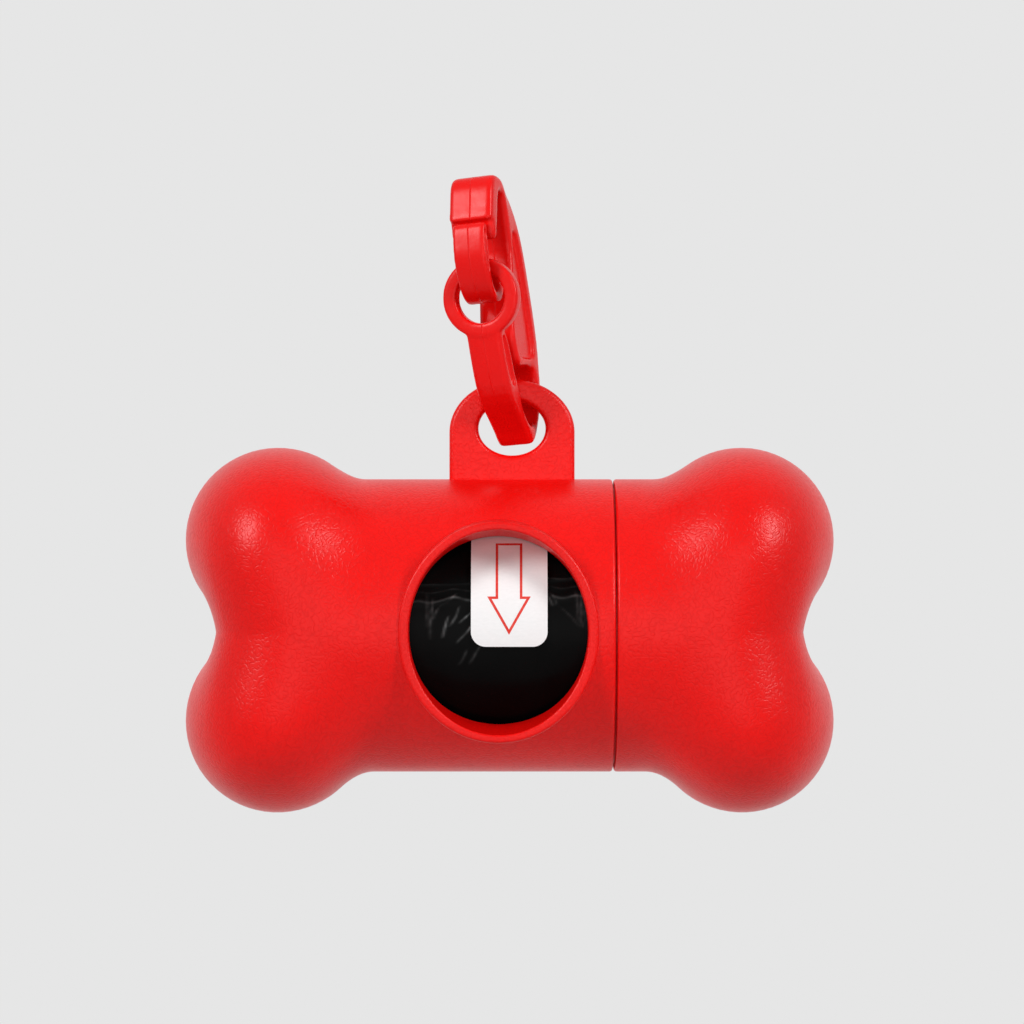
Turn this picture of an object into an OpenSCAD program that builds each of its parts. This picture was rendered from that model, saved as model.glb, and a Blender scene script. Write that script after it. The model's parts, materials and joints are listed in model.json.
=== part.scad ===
// Bone-shaped dispenser for rolls of dog poop bags, with a clip on its lug.
// Frame: origin at the middle of the lug's eye, +X towards the cap,
// -Y towards the window, +Z up. Millimetres.

/* [Bone] */
// Overall length of the bone, end to end
bone_length = 84.8; // [80:0.2:92]
// Radius of each of the four lobes, seen from the front
lobe_r = 12.07; // [11:0.1:12.6]
// Half the depth of a lobe, front to back
lobe_depth = 18.3; // [17.5:0.1:19]
// Height of a lobe's centre above the bone's middle
lobe_rise = 11.8; // [11:0.1:12.4]
// Outer radius of the barrel
barrel_r = 19.15; // [18.8:0.05:20]
// Height of the barrel's axis above the bone's middle
barrel_lift = 0.6; // [0:0.1:1]
// Distance from the barrel's end to the lobes' outermost points
notch_depth = 4.7; // [4:0.1:5.2]
// Rounding of the barrel's ends
barrel_end_r = 11; // [9:0.5:12]
// How far the lobes' blend into the barrel reaches, in the bone's middle plane
blend = 1.8; // [1:0.1:3]
// How far that blend reaches at the front and the back
front_blend = 6; // [4:0.5:7]

/* [Cavity] */
// Wall of the barrel
wall = 2.25; // [2:0.05:2.4]
// Least wall at the ends of the bone
end_wall = 2.2; // [1.8:0.1:3]
// Half the length of the straight part of the cavity
straight_half = 29.6; // [29.5:0.1:30.2]

/* [Cap joint] */
// Where the seam lies, right of the bone's middle
seam_x = 13.5; // [11:0.5:16]
// Gap between the holder and the cap at the seam
seam_gap = 0.2; // [0.1:0.05:0.3]
// Length of the neck that the cap goes over
neck_length = 7; // [5:0.5:9]
// Wall of the neck
neck_wall = 1.15; // [1:0.05:1.2]
// Running clearance of the cap on the neck
neck_fit = 0.06; // [0.04:0.01:0.1]
// Plain length of the neck next to the seam, where the cap seats
neck_land = 1.6; // [1:0.1:2]
// How far the neck is reduced beyond the plain length
neck_relief = 0.3; // [0.2:0.05:0.4]

/* [Window] */
// Half the width of the window
window_rx = 11.2; // [10:0.05:11.5]
// Half the height of the window
window_rz = 12; // [11:0.05:12.4]
// Window's centre, right of the bone's middle
window_x = -1.4; // [-2:0.1:0]
// Window's centre, above the bone's middle
window_lift = 0.3; // [0:0.1:1]
// How far the window's rim stands out past the barrel
rim_out = 0.35; // [0.2:0.05:0.6]
// Width of the rim at its crest
rim_w = 1.2; // [1:0.05:1.6]
// How far the rim widens towards its foot
rim_flare = 0.3; // [0.2:0.05:0.6]
// How far the window widens in its wall, at its sides
mouth_x = 0.25; // [0.2:0.05:0.5]
// How far the window widens in its wall, at its top and foot
mouth_z = 1; // [0.6:0.1:1.2]

/* [Lug] */
// Width of the lug
lug_w = 16.4; // [15:0.1:18]
// Height of the lug's arch, above its straight sides
lug_arch = 6.9; // [6.5:0.1:8]
// Thickness of the lug
lug_t = 3; // [2.6:0.1:3.2]
// Height of the eye's centre above the bone's middle
eye_rise = 26.4; // [26:0.1:28]
// Width of the eye where it is clear
eye_w = 8.8; // [8.4:0.1:9.4]
// Height of the eye where it is clear
eye_h = 7.1; // [6.9:0.1:7.4]
// Thickness of the bar over the eye
bar_h = 2.85; // [2.5:0.05:2.9]
// Rounding of the lug's edges and of the eye's rim
lug_round = 0.7; // [0.4:0.1:0.9]
// How far the lug stands to the right of the bone's middle
lug_shift = 0.3; // [0:0.1:0.5]

/* [Clip] */
// Height of the clip, from the bend in the eye to the nose
clip_h = 34.95; // [34:0.05:36]
// Width of the clip's strap
strap_w = 4.8; // [4.4:0.1:5]
// Width of the nose
nose_w = 6; // [5.2:0.1:6.4]
// Depth of the grooves in the clip's sides
groove = 0.55; // [0.3:0.05:0.8]
// Outer radius of the ring on the front leg
ring_r = 5.15; // [5:0.05:5.3]
// Radius of the hole in that ring
ring_hole_r = 3.3; // [3.2:0.05:3.4]
// Thickness of that ring
ring_t = 1.9; // [1.6:0.1:2]
// Width of the gate
gate_w = 4.5; // [4:0.1:4.7]
// Turn of the clip about the vertical, its front to the left
clip_turn = 20; // [0:1:24]
// Lean of the clip, its top to the left
clip_lean = 5; // [0:1:8]

/* [Bag roll] */
// Play of the roll of bags in the cavity
roll_play = 0.8; // [0.7:0.1:3]
// Length of the roll
roll_length = 58; // [50:0.5:58]
// Outer radius of the cardboard core
core_r = 7.5; // [6.5:0.5:10]
// Wall of the cardboard core
core_wall = 1; // [0.6:0.1:1.5]
// Width of the paper band
band_w = 9.7; // [8:0.1:14]
// Thickness of the paper band
band_t = 0.15; // [0.1:0.05:0.2]
// Thickness of the leading bag's fold
fold_t = 0.4; // [0.3:0.05:0.5]

/* [Hidden] */
$fn = 96;

// Clear distance that keeps soft pieces off each other
soft_gap = 0.05;

// The bone's middle, and the barrel's axis, in the frame of the eye
bone_x = -lug_shift;
bone_z = -eye_rise;
axis_z = bone_z + barrel_lift;

// The bone in its own frame, with its middle at the origin
lobe_x = bone_length / 2 - lobe_r;
barrel_half = bone_length / 2 - notch_depth;
bore_r = barrel_r - wall;
roll_r = bore_r - roll_play;

// Rings and spokes of the bone's outer surface
spokes = 64;
end_rings = 19;
flank_rings = 15;
ray_start_x = lobe_x - 6;
seam_edge = 0.35;
blend_depth = 14;
blend_end_x = max(lobe_x - lobe_r - front_blend / 2, seam_x + seam_gap / 2 + 2 * seam_edge);

// Distance from a point to the barrel with its rounded ends
function barrel_distance(x, y, z) =
    let (
        r = norm([y, z - barrel_lift]) - (barrel_r - barrel_end_r),
        a = abs(x) - (barrel_half - barrel_end_r)
    )
    norm([max(r, 0), max(a, 0)]) + min(max(r, a), 0) - barrel_end_r;

// Distance from a point to the nearest lobe, scaled in its depth
function lobe_distance(x, y, z) =
    norm([abs(x) - lobe_x, y * lobe_r / lobe_depth, abs(z) - lobe_rise]) - lobe_r;

// The two joined with a soft blend
function bone_distance(x, y, z) =
    let (
        a = barrel_distance(x, y, z),
        b = lobe_distance(x, y, z),
        k = blend + (front_blend - blend) * min(abs(y) / blend_depth, 1),
        h = max(k - abs(a - b), 0)
    )
    min(a, b) - h * h / (4 * k);

// How far along a ray the bone's surface lies, by halving the bracket
function surface_along(from, way, near, far, steps) =
    let (mid = (near + far) / 2, p = from + way * mid)
    steps == 0 ? mid
    : bone_distance(p.x, p.y, p.z) < 0 ? surface_along(from, way, mid, far, steps - 1)
    : surface_along(from, way, near, mid, steps - 1);

// A point of the surface on one spoke, tilted from square to the axis by a lean
function surface_point(from_x, lean, spoke) =
    let (
        turn = 360 * spoke / spokes,
        from = [from_x, 0, barrel_lift],
        way = [sin(lean), cos(lean) * cos(turn), cos(lean) * sin(turn)]
    )
    from + way * surface_along(from, way, 8, 32, 17);

function surface_ring(from_x, lean) =
    [for (s = [0 : spokes - 1]) surface_point(from_x, lean, s)];

// A ring on the straight barrel, of a given radius
function barrel_ring(x, r) =
    [for (s = [0 : spokes - 1]) [x, r * cos(360 * s / spokes), barrel_lift + r * sin(360 * s / spokes)]];

// Rings of one end of the bone, from the seam to the last ring before the pole
function end_ring_list(start_x) = concat(
    [barrel_ring(start_x, barrel_r - seam_edge), barrel_ring(start_x + seam_edge, barrel_r)],
    [for (i = [0 : flank_rings]) surface_ring(blend_end_x + (ray_start_x - blend_end_x) * i / flank_rings, 0)],
    [for (i = [1 : end_rings - 1]) surface_ring(ray_start_x, 90 * i / end_rings)]
);

// Closed skin through a list of rings, with a flat start and a pole at the end
module skin(rings, pole) {
    count = len(rings);
    points = concat([for (r = rings) each r], [pole]);
    sides = [
        for (i = [0 : count - 2], s = [0 : spokes - 1])
            let (a = i * spokes + s, b = i * spokes + (s + 1) % spokes)
            each [[a, a + spokes, b + spokes], [a, b + spokes, b]]
    ];
    tip = [for (s = [0 : spokes - 1]) [(count - 1) * spokes + s, count * spokes, (count - 1) * spokes + (s + 1) % spokes]];
    base = [[for (s = [0 : spokes - 1]) s]];
    polyhedron(points, concat(sides, tip, base), convexity = 6);
}

// One end of the bone, from start_x to its tip, towards +X
module bone_end(start_x) {
    tip = surface_along([ray_start_x, 0, barrel_lift], [1, 0, 0], 8, 32, 17);
    skin(end_ring_list(start_x), [ray_start_x + tip, 0, barrel_lift]);
}

// Half of the cavity, towards +X: straight, then a dome
module cavity_half(from_x) {
    dome = barrel_half - end_wall - straight_half;
    steps = 14;
    translate([0, 0, barrel_lift])
        rotate([0, 90, 0])
            rotate_extrude()
                polygon(concat(
                    [[0, from_x], [bore_r, from_x]],
                    [for (i = [0 : steps]) [bore_r * cos(90 * i / steps), straight_half + dome * sin(90 * i / steps)]]
                ));
}

neck_r = bore_r + neck_wall;

// Neck of the holder: a plain land, then a slightly thinner stretch
module neck() {
    translate([seam_x - 2, 0, barrel_lift])
        rotate([0, 90, 0]) {
            cylinder(r = neck_r, h = 2 + neck_land);
            cylinder(r = neck_r - neck_relief, h = 2 + neck_length);
        }
}

// A closed form through outlines with equally many points, stacked along +Z
module stack(outlines) {
    rows = len(outlines);
    n = len(outlines[0]);
    sides = [
        for (i = [0 : rows - 2], s = [0 : n - 1])
            let (a = i * n + s, b = i * n + (s + 1) % n)
            each [[a, a + n, b + n], [a, b + n, b]]
    ];
    start = [[for (s = [0 : n - 1]) s]];
    end = [[for (s = [n - 1 : -1 : 0]) (rows - 1) * n + s]];
    polyhedron([for (o = outlines) each o], concat(sides, start, end), convexity = 4);
}

// The same through ovals: each level is half a width, half a height and a place on Z
module oval_stack(levels) {
    turns = 72;
    stack([
        for (l = levels)
            [for (s = [0 : turns - 1]) let (a = 360 * s / turns) [l[0] * cos(a), l[1] * sin(a), l[2]]]
    ]);
}

// The window's size at the crest of its rim
crest = barrel_r + rim_out;
mouth_rx = window_rx + mouth_x;
mouth_rz = window_rz + mouth_z;

// The window's rim before it is opened, from the barrel's axis out to its crest
module rim_blank() {
    round_out = 0.4;
    steps = 4;
    rx = mouth_rx + rim_w;
    rz = mouth_rz + 0.8 * rim_w;
    oval_stack(concat(
        [[rx + rim_flare, rz + rim_flare, 0], [rx + rim_flare, rz + rim_flare, crest * 0.66]],
        [
            for (i = [0 : steps])
                let (a = 90 * i / steps, in = round_out * (1 - cos(a)))
                [rx - in, rz - in, crest - round_out * (1 - sin(a))]
        ]
    ));
}

// Cutter for the window: straight inside, then widening to a rounded mouth
module window_cutter() {
    round_in = 0.3;
    steps = 4;
    oval_stack(concat(
        [[window_rx, window_rz, 0], [window_rx, window_rz, crest * 0.6]],
        [
            for (i = [0 : steps])
                let (a = 90 * i / steps, out = round_in * (1 - cos(a)))
                [mouth_rx - round_in / 3 + out, mouth_rz - round_in / 3 + out, crest - round_in * (1 - sin(a))]
        ],
        [[mouth_rx + round_in, mouth_rz + round_in, crest + 2]]
    ));
}

// Puts a shape that stands on +Z onto the window's axis, facing the front
module at_window() {
    translate([window_x, 0, window_lift])
        rotate([90, 0, 0])
            children();
}

// Outline of the lug, drawn in by a margin: an arch on straight sides
arch_r = lug_w / 2;
arch_z = eye_h / 2 + bar_h - lug_arch;
lug_foot = barrel_lift - eye_rise + barrel_r * 0.8;

function lug_outline(margin) = concat(
    [[-(arch_r - margin), lug_foot], [arch_r - margin, lug_foot]],
    [for (i = [0 : 24]) let (a = 180 * i / 24) [(arch_r - margin) * cos(a), arch_z + (lug_arch - margin) * sin(a)]]
);

// How a rounded edge of the lug runs: margin from its outline, height from its middle
lug_edge = [
    for (i = [0 : 4])
        let (a = 22.5 * i)
        [lug_round * (1 - sin(a)), lug_t / 2 - lug_round * (1 - cos(a))]
];

// The lug before its eye is cut, with rounded edges
module lug_blank() {
    levels = concat(
        [for (e = lug_edge) [e[0], -e[1]]],
        [for (i = [4 : -1 : 0]) lug_edge[i]]
    );
    rotate([90, 0, 0])
        stack([for (l = levels) [for (p = lug_outline(l[0])) [p.x, p.y, l[1]]]]);
}

// Cutter for the eye: an oval that flares at both faces
module eye_cutter() {
    rx = eye_w / 2;
    rz = eye_h / 2;
    rotate([90, 0, 0])
        oval_stack(concat(
            [[rx + lug_round, rz + lug_round, -lug_t]],
            [for (e = lug_edge) [rx + e[0], rz + e[0], -e[1]]],
            [for (i = [4 : -1 : 0]) [rx + lug_edge[i][0], rz + lug_edge[i][0], lug_edge[i][1]]],
            [[rx + lug_round, rz + lug_round, lug_t]]
        ));
}

// Places the bone's own frame in the frame of the eye
module in_bone() {
    translate([bone_x, 0, bone_z])
        children();
}

module holder() {
    color("red")
        difference() {
            union() {
                in_bone() {
                    mirror([1, 0, 0])
                        bone_end(-(seam_x - seam_gap / 2));
                    neck();
                    at_window()
                        rim_blank();
                }
                lug_blank();
            }
            in_bone() {
                mirror([1, 0, 0])
                    cavity_half(-(seam_x + neck_length + 1));
                at_window()
                    window_cutter();
            }
            eye_cutter();
        }
}

module cap() {
    color("red")
        in_bone()
            difference() {
                bone_end(seam_x + seam_gap / 2);
                cavity_half(seam_x - 1);
                translate([seam_x - 1, 0, barrel_lift])
                    rotate([0, 90, 0])
                        cylinder(r = neck_r + neck_fit, h = 1 + neck_length + 0.4);
            }
}

// A point between p1 and p2 on a smooth curve through four points
function curve_point(p0, p1, p2, p3, k) =
    0.5 * (2 * p1 + (p2 - p0) * k + (2 * p0 - 5 * p1 + 4 * p2 - p3) * k * k
        + (3 * p1 - p0 - 3 * p2 + p3) * k * k * k);

// A smooth open line through points
function smooth_line(points, steps) =
    let (n = len(points))
    concat(
        [for (i = [0 : n - 2], k = [0 : steps - 1])
            curve_point(points[max(i - 1, 0)], points[i], points[i + 1], points[min(i + 2, n - 1)], k / steps)],
        [points[n - 1]]
    );

// A smooth closed line through points
function smooth_loop(points, steps) =
    let (n = len(points))
    [for (i = [0 : n - 1], k = [0 : steps - 1])
        curve_point(points[(i + n - 1) % n], points[i], points[(i + 1) % n], points[(i + 2) % n], k / steps)];

// A clockwise outline drawn in by a margin
function drawn_in(outline, margin) =
    let (n = len(outline))
    [for (i = [0 : n - 1])
        let (way = outline[(i + 1) % n] - outline[(i + n - 1) % n])
        outline[i] + margin * [way.y, -way.x] / norm(way)];

// The clip's side view was drawn at one height; this brings it to the clip's own
clip_scale = clip_h / 34.95;

function to_size(points) = [for (p = points) p * clip_scale];

// How much wider the nose is than the strap, at a point of the side view
function nose_extra(p) =
    let (q = p / clip_scale)
    q.y < 18.6 ? 0 : (nose_w - strap_w) / 2 * min(max((-2.2 - q.x) / 3, 0), 1);

// A bar along X between two lines in Y and Z that run side by side, with rounded edges.
// One line forwards and the other backwards make a clockwise outline
module ribbon(line_a, line_b, width, edge, widens) {
    steps = 3;
    m = len(line_a);
    n = 2 * m;
    outline = concat(line_a, [for (i = [m - 1 : -1 : 0]) line_b[i]]);
    half = [for (p = outline) width / 2 + (widens ? nose_extra(p) : 0)];
    left = [for (i = [0 : steps]) let (a = 90 * i / steps) [-1, edge * (1 - cos(a)), edge * (1 - sin(a))]];
    right = [for (i = [steps : -1 : 0]) [1, left[i][1], left[i][2]]];
    levels = concat(left, right);
    rows = len(levels);
    points = [
        for (l = levels)
            let (shape = drawn_in(outline, l[2]))
            each [for (s = [0 : n - 1]) [l[0] * (half[s] - l[1]), shape[s].x, shape[s].y]]
    ];
    sides = [
        for (i = [0 : rows - 2], s = [0 : n - 1])
            let (a = i * n + s, b = i * n + (s + 1) % n)
            each [[a, b + n, a + n], [a, b, b + n]]
    ];
    last = (rows - 1) * n;
    caps = [
        for (i = [0 : m - 2])
            let (p = i, q = i + 1, r = n - 2 - i, s = n - 1 - i)
            each [[r, q, p], [s, r, p], [last + p, last + q, last + r], [last + p, last + r, last + s]]
    ];
    polyhedron(points, concat(sides, caps), convexity = 8);
}

// A groove of an outline, in both sides of a bar of a given width
module side_grooves(outline, width) {
    for (side = [0, 1])
        mirror([side, 0, 0])
            translate([width / 2 - groove, 0, 0])
                rotate([90, 0, 90])
                    linear_extrude(width)
                        polygon(outline);
}

// The clip's side view: depth towards the back, height above the bar of the lug.
// The strap's outer and inner lines, from the lip over the nose, down the spine,
// through the eye and up the front leg; each pair of points is one station
strap_outer = smooth_line(to_size([
    [-9.15, 19.25], [-9.65, 19.9], [-9.75, 20.9], [-9.75, 21.75], [-10.3, 21.95], [-10.2, 22.6], [-9.9, 23.5],
    [-9.5, 24.8], [-9.05, 26.2], [-8.3, 27.3], [-7.1, 27.75], [-5.3, 27.45], [-3.5, 26.8], [-1.8, 25.6],
    [-0.3, 24.1], [1, 22.3], [2.2, 20], [3.1, 17.2], [3.9, 13.6], [4.6, 10.2], [5.05, 7], [5.12, 6.2],
    [5.14, 5.6], [5.15, 5], [5.15, 4.5], [5.13, 4], [5.08, 3.2], [5.05, 2], [4.98, 0.6], [4.65, -1], [3.95, -3],
    [2.7, -5], [1.2, -6.7], [-0.4, -7.2], [-2, -5.6], [-3.9, -3.8], [-6, -1.8], [-7.5, 0.6], [-8.5, 3.9],
    [-9.05, 6.5], [-9.2, 8.2]
]), 2);
strap_inner = smooth_line(to_size([
    [-8.9, 19.25], [-8.4, 19.8], [-8.15, 20.7], [-7.95, 21.3], [-7.8, 21.7], [-7.6, 22.2], [-7.3, 23.1],
    [-7, 24], [-6.7, 24.8], [-6.35, 25.35], [-5.9, 25.65], [-5.3, 25.65], [-4.6, 25.3], [-4, 24.5],
    [-3.5, 23.2], [-3.1, 21.8], [-2.6, 20.2], [-2.2, 18], [-2.7, 14.6], [-3.5, 11.2], [-4, 8], [-3.9, 6],
    [-3.4, 4.3], [-2.7, 3.35], [-1.5, 3.05], [0.2, 3.1], [1.9, 2.95], [2.95, 2.3], [3.3, 0.6], [3.12, -1.2],
    [2.5, -3.15], [1.6, -4.4], [0.5, -4.8], [-0.8, -4.3], [-1.9, -3.2], [-2.75, -2], [-3.5, 0], [-4.6, 2.5],
    [-5.4, 4.9], [-6.2, 6.7], [-7.45, 8.2]
]), 2);
gate_front = smooth_line(to_size([
    [-10.5, 21.6], [-11.05, 21.35], [-11.4, 20.6], [-11.6, 19], [-11.7, 17.3], [-11.4, 15.6], [-10.85, 14],
    [-10.1, 12.75], [-9.15, 11.8], [-8.1, 11.3], [-7.1, 11.35], [-6.3, 11.95], [-5.75, 12.9], [-5.5, 14],
    [-5.5, 15], [-5.75, 15.6]
]), 2);
gate_back = smooth_line(to_size([
    [-10.3, 21.6], [-10, 21.2], [-9.95, 20.3], [-9.98, 18.9], [-9.98, 17.2], [-9.93, 15.7], [-9.75, 14.5],
    [-9.35, 13.5], [-8.75, 12.85], [-8.05, 12.6], [-7.4, 12.85], [-7, 13.5], [-6.82, 14.2], [-6.75, 14.8],
    [-6.65, 15.35], [-6.35, 15.7]
]), 2);
spine_groove = smooth_loop(to_size([
    [-1.2, 20.6], [0.2, 20.4], [1, 18.4], [1.6, 16.2], [2.4, 12.4], [3.1, 8.6], [3.4, 5.4], [2.7, 4.1], [0.2, 4],
    [-1.9, 4.3], [-2.8, 5.6], [-3.1, 8], [-2.7, 11], [-2, 14], [-1.5, 16.6], [-1.4, 18.8]
]), 2);
leg_groove = smooth_loop(to_size([
    [-7.6, 7.2], [-6.7, 6], [-5.9, 3.8], [-5, 1.4], [-5.4, 0.4], [-6.4, 1.2], [-7.2, 2.8], [-7.9, 5.2], [-8.2, 7]
]), 2);
gate_groove = smooth_loop(to_size([
    [-10.4, 20.4], [-10.45, 18.6], [-10.4, 16.6], [-10.3, 15.1], [-10.7, 15.1], [-11.1, 16.6], [-11.2, 18.6],
    [-11.05, 20.2], [-10.7, 20.7]
]), 2);

// Height of the bar of the lug above the eye's middle
pivot_z = eye_h / 2 + bar_h / 2;
strap_edge = 0.6;
gate_edge = 0.35;
ring_height = 12 * clip_scale;
ring_front = -9.3 * clip_scale;
ring_fillet = 1.2;

// Places the clip's own frame: its pivot on the bar, turned and leaning
module in_clip() {
    translate([0, 0, pivot_z])
        rotate([0, -clip_lean, 0])
            rotate([0, 0, -clip_turn])
                children();
}

// The ring on top of the front leg, facing front, with rounded edges
module ring() {
    e = 0.3;
    steps = 4;
    section = concat(
        [for (i = [0 : steps]) let (a = 90 * i / steps) [ring_r - e + e * sin(a), ring_t - e + e * cos(a)]],
        [for (i = [0 : steps]) let (a = 90 * i / steps) [ring_r - e + e * cos(a), e - e * sin(a)]],
        [for (i = [0 : steps]) let (a = 90 * i / steps) [ring_hole_r + e - e * sin(a), e - e * cos(a)]],
        [for (i = [0 : steps]) let (a = 90 * i / steps) [ring_hole_r + e - e * cos(a), ring_t - e + e * sin(a)]]
    );
    translate([0, ring_front + ring_t, ring_height])
        rotate([90, 0, 0])
            rotate_extrude()
                polygon(section);
}

// Fillets between the ring and the leg below it
module ring_fillets() {
    sunk = 0.1;
    reach = ring_r - sunk + ring_fillet;
    side = strap_w / 2 - 0.2 + ring_fillet;
    drop = sqrt(reach * reach - side * side);
    foot = (ring_r - 2 * sunk) / reach;
    translate([0, ring_front + ring_t - 0.2, ring_height])
        rotate([90, 0, 0])
            linear_extrude(ring_t - 0.4)
                difference() {
                    polygon([
                        [-side, -drop], [side, -drop], [side * foot, -drop * foot],
                        [0, -(ring_hole_r + ring_r) / 2], [-side * foot, -drop * foot]
                    ]);
                    for (i = [-1, 1])
                        translate([i * side, -drop])
                            circle(r = ring_fillet);
                }
}

module hook() {
    color("red")
        in_clip() {
            difference() {
                ribbon(strap_outer, strap_inner, strap_w, strap_edge, true);
                side_grooves(spine_groove, strap_w);
                side_grooves(leg_groove, strap_w);
            }
            ring();
            ring_fillets();
        }
}

module gate() {
    color("darkred")
        in_clip()
            difference() {
                ribbon(gate_back, gate_front, gate_w, gate_edge, false);
                side_grooves(gate_groove, gate_w);
            }
}

// Puts a shape about the barrel's axis, its own Z along the frame's X
module about_axis() {
    translate([bone_x, 0, axis_z])
        rotate([0, 90, 0])
            children();
}

fold_r = roll_r + fold_t;
band_r = fold_r + soft_gap + band_t;

module bag_roll() {
    color("black")
        about_axis()
            difference() {
                cylinder(r = roll_r, h = roll_length, center = true);
                cylinder(r = core_r + soft_gap, h = roll_length + 1, center = true);
            }
}

module roll_core() {
    color("tan")
        about_axis()
            difference() {
                cylinder(r = core_r, h = roll_length, center = true);
                cylinder(r = core_r - core_wall, h = roll_length + 1, center = true);
            }
}

// The first bag's folded end: from its edge in the window down and under the roll
module leading_bag() {
    color("dimgray")
        about_axis()
            rotate([0, 0, -107.5])
                rotate_extrude(angle = 138)
                    translate([roll_r + soft_gap, -roll_length / 2 + 0.5])
                        square([fold_t - soft_gap, roll_length - 1]);
}

// The paper band: from under the top of the window down over the roll
module paper_band() {
    corner = 1.5;
    middle = -0.35;
    low = bone_z - 1.6;
    color("white")
        intersection() {
            about_axis()
                rotate([0, 0, -190])
                    rotate_extrude(angle = 112)
                        translate([fold_r + soft_gap, middle - bone_x - band_w / 2])
                            square([band_t, band_w]);
            translate([middle, 2 * roll_r, 0])
                rotate([90, 0, 0])
                    linear_extrude(4 * roll_r)
                        polygon(concat(
                            [[-band_w / 2 - 1, low + 40], [-band_w / 2 - 1, low + corner + 0.4]],
                            [for (a = [195 : 15 : 270]) [corner - band_w / 2 + corner * cos(a), low + corner + corner * sin(a)]],
                            [for (a = [270 : 15 : 345]) [band_w / 2 - corner + corner * cos(a), low + corner + corner * sin(a)]],
                            [[band_w / 2 + 1, low + corner + 0.4], [band_w / 2 + 1, low + 40]]
                        ));
        }
}

holder();
cap();
hook();
gate();
bag_roll();
roll_core();
leading_bag();
paper_band();
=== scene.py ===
# %% [markdown]
# # A bone-shaped bag dispenser
#
# The object is a red plastic bone, as long as a finger, that hangs from a lead by a snap
# clip. A round window in its front lets out the bags that are wound on a roll inside.
# Each cell below makes one thing: the frame, a camera, then piece after piece, and last
# the light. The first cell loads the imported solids, which fix every size and place.
# Nothing here moves them.

import json
import math

import bmesh
import bpy
from mathutils import Matrix, Vector, noise


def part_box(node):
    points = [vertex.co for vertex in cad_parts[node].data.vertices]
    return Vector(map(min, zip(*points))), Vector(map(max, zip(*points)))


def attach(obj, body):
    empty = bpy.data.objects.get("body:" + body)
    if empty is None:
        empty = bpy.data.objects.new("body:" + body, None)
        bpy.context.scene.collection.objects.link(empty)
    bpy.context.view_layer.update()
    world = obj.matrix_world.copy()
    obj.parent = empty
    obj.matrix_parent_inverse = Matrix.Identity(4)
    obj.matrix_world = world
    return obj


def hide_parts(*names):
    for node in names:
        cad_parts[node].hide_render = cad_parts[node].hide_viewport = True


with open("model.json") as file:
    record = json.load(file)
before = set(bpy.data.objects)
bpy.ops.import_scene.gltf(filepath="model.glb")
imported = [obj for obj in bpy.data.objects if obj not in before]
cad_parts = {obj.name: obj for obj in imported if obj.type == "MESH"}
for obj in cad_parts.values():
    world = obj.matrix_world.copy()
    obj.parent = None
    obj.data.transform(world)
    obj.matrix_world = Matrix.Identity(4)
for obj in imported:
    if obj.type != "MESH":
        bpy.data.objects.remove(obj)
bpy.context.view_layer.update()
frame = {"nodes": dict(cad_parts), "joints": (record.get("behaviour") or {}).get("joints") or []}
joints = {joint["name"]: joint for joint in frame["joints"]}
print("solids:", sorted(frame["nodes"]))

# %% [markdown]
# ## Measures that everything shares
#
# Blender works in metres and the part was drawn in millimetres, so one value turns one
# into the other. The bone's length and middle, and the roll's radius, are read from the
# boxes of the solids. The other sizes are the drawing's own.

# %% Measures
MM = 0.001
bone_start, bone_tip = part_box("holder")[0].x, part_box("cap")[1].x
roll_low, roll_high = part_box("bag_roll")
BONE_LENGTH = (bone_tip - bone_start) / MM
BONE_X = (bone_tip + bone_start) / 2 / MM
AXIS_Z = (roll_high.z + roll_low.z) / 2 / MM
ROLL_R = (roll_high.z - roll_low.z) / 2 / MM
BARREL_LIFT = 0.6  # the barrel's axis above the bone's middle
BONE_Z = AXIS_Z - BARREL_LIFT
LOBE_R = 12.07
LOBE_DEPTH = 18.3
LOBE_RISE = 11.8
BARREL_R = 19.15
BARREL_END_R = 11.0
NOTCH_DEPTH = 4.7  # from the bone's tips to the barrel's end between them
BLEND, FRONT_BLEND, BLEND_DEPTH = 1.8, 6.0, 14.0
SEAM_X = 13.5
SEAM_GAP = 0.2
BORE_R = 16.9
LOBE_X = BONE_LENGTH / 2 - LOBE_R
BARREL_HALF = BONE_LENGTH / 2 - NOTCH_DEPTH
print(f"bone {BONE_LENGTH:.1f} mm long, its middle at x {BONE_X:.2f}")
print(f"roll's axis at z {AXIS_Z:.2f}, roll's radius {ROLL_R:.2f}")

# %% [markdown]
# ## The camera
#
# The photograph looks straight at the bone from a little above its middle, through a long
# lens, so the ends hardly narrow. The distance sets how much the clip's nearer parts grow,
# and the width of the view fixes the lens.

# %% Camera
CAMERA_DISTANCE = 460.0
CAMERA_HEIGHT = -10.95
VIEW_WIDTH = 134.35
SENSOR_WIDTH = 36.0

bpy.ops.object.camera_add(
    location=(0, -CAMERA_DISTANCE * MM, CAMERA_HEIGHT * MM), rotation=(math.radians(90), 0, 0)
)
camera = bpy.context.object
camera.name = "photo_camera"
camera.data.sensor_width = SENSOR_WIDTH
camera.data.lens = SENSOR_WIDTH * CAMERA_DISTANCE / VIEW_WIDTH
camera.data.clip_start = 0.01
bpy.context.scene.camera = camera
print(f"lens {camera.data.lens:.1f} mm at {CAMERA_DISTANCE:.0f} mm")

# %% [markdown]
# ## Helpers for the modelling
#
# Blender's operators act on what is selected, and the loaded solids are selected after
# loading, so the first helper picks one piece and nothing else. The others apply a
# piece's modifiers, cut or join two closed meshes, tidy a mesh and set its shading.

# %% Selecting, tidying and joining
WELD = 1e-7


def pick(piece):
    """Select this piece alone and make it the active one."""
    bpy.ops.object.select_all(action="DESELECT")
    piece.hide_set(False)
    piece.select_set(True)
    bpy.context.view_layer.objects.active = piece


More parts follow.
